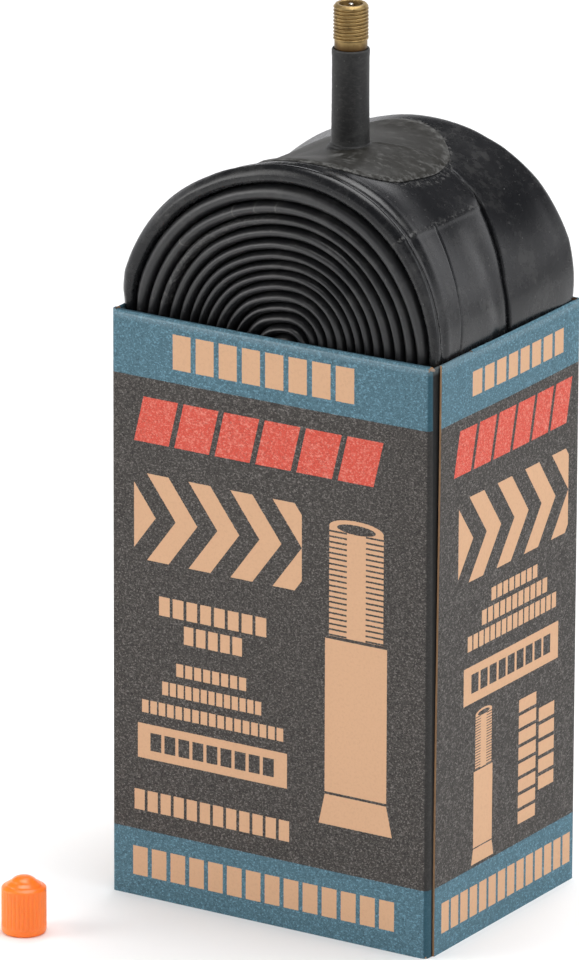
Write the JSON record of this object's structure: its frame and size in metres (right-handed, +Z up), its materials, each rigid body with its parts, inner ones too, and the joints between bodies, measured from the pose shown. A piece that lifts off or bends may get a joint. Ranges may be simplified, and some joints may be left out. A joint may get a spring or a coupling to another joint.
{
  "type": "inner tube",
  "caption": "Rolled bicycle inner tube with a screw-core valve, standing half out of its tuck-end board carton, with a loose dust cap.",
  "frame": {"origin": "centre of the carton's base, on the surface it stands on", "axes": "+Z up along the valve; +X to the right along the wide front panel; the front panel faces -Y, and the roll's axis is parallel to Y"},
  "size_m": [0.0886, 0.0992, 0.2031],
  "materials": {
    "carton_print": "speckled matt print on brown board",
    "tube_rubber": "satin black rubber, lightly dusted",
    "patch_rubber": "matt grey-black rubber",
    "stem_rubber": "satin black rubber",
    "stem_brass": "worn turned brass",
    "core_brass": "turned brass",
    "gasket_plastic": "smooth",
    "pin_steel": "bright",
    "seat_rubber": "matt",
    "cap_plastic": "slightly translucent moulded plastic"
  },
  "bodies": {
    "carton": {"carton_sleeve": "carton_print", "top_tuck_flap": "carton_print", "top_dust_flap_left": "carton_print", "top_dust_flap_right": "carton_print", "bottom_dust_flap_left": "carton_print", "bottom_dust_flap_right": "carton_print"},
    "bottom_lid": {"bottom_tuck_flap": "carton_print"},
    "tube": {"tube_coil": "tube_rubber", "valve_patch": "patch_rubber", "stem_rubber": "stem_rubber", "stem_brass": "stem_brass"},
    "core": {"core_barrel": "core_brass", "core_gasket": "gasket_plastic", "core_spring": "pin_steel"},
    "plug": {"core_plug": "core_brass"},
    "pin": {"core_pin": "pin_steel", "core_pin_cup": "core_brass", "core_seat_washer": "seat_rubber"},
    "cap": {"dust_cap": "cap_plastic"}
  },
  "joints": [
    {"name": "tube_lift", "type": "slide", "parent": "carton", "child": "tube", "axis": [0, 0, 1], "range_m": [-0.0935, 0.042]},
    {"name": "bottom_lid_turn", "type": "hinge", "parent": "carton", "child": "bottom_lid", "pos_m": [0, -0.03058, 0.00022], "axis": [-1, 0, 0], "range_deg": [0, 110]},
    {"name": "core_lift", "type": "slide", "parent": "tube", "child": "core", "axis": [0, 0, 1], "range_m": [0, 0.00353]},
    {"name": "plug_turn", "type": "hinge", "parent": "core", "child": "plug", "pos_m": [0.0004, 0.00045, 0.199], "axis": [0, 0, 1], "range_deg": [0, 1802]},
    {"name": "pin_press", "type": "slide", "parent": "core", "child": "pin", "axis": [0, 0, 1], "range_m": [-0.0015, 0], "stiffness_N_per_m": 1600, "springref_m": 0.0006, "deforming": ["core_spring"]},
    {"name": "cap_lift", "type": "slide", "parent": "carton", "child": "cap", "axis": [0, 0, 1], "range_m": [0, 0.06]}
  ],
  "couplings": [
    {"joint": "plug_turn", "follows": "core_lift", "rad_per_m": 8904.7}
  ]
}
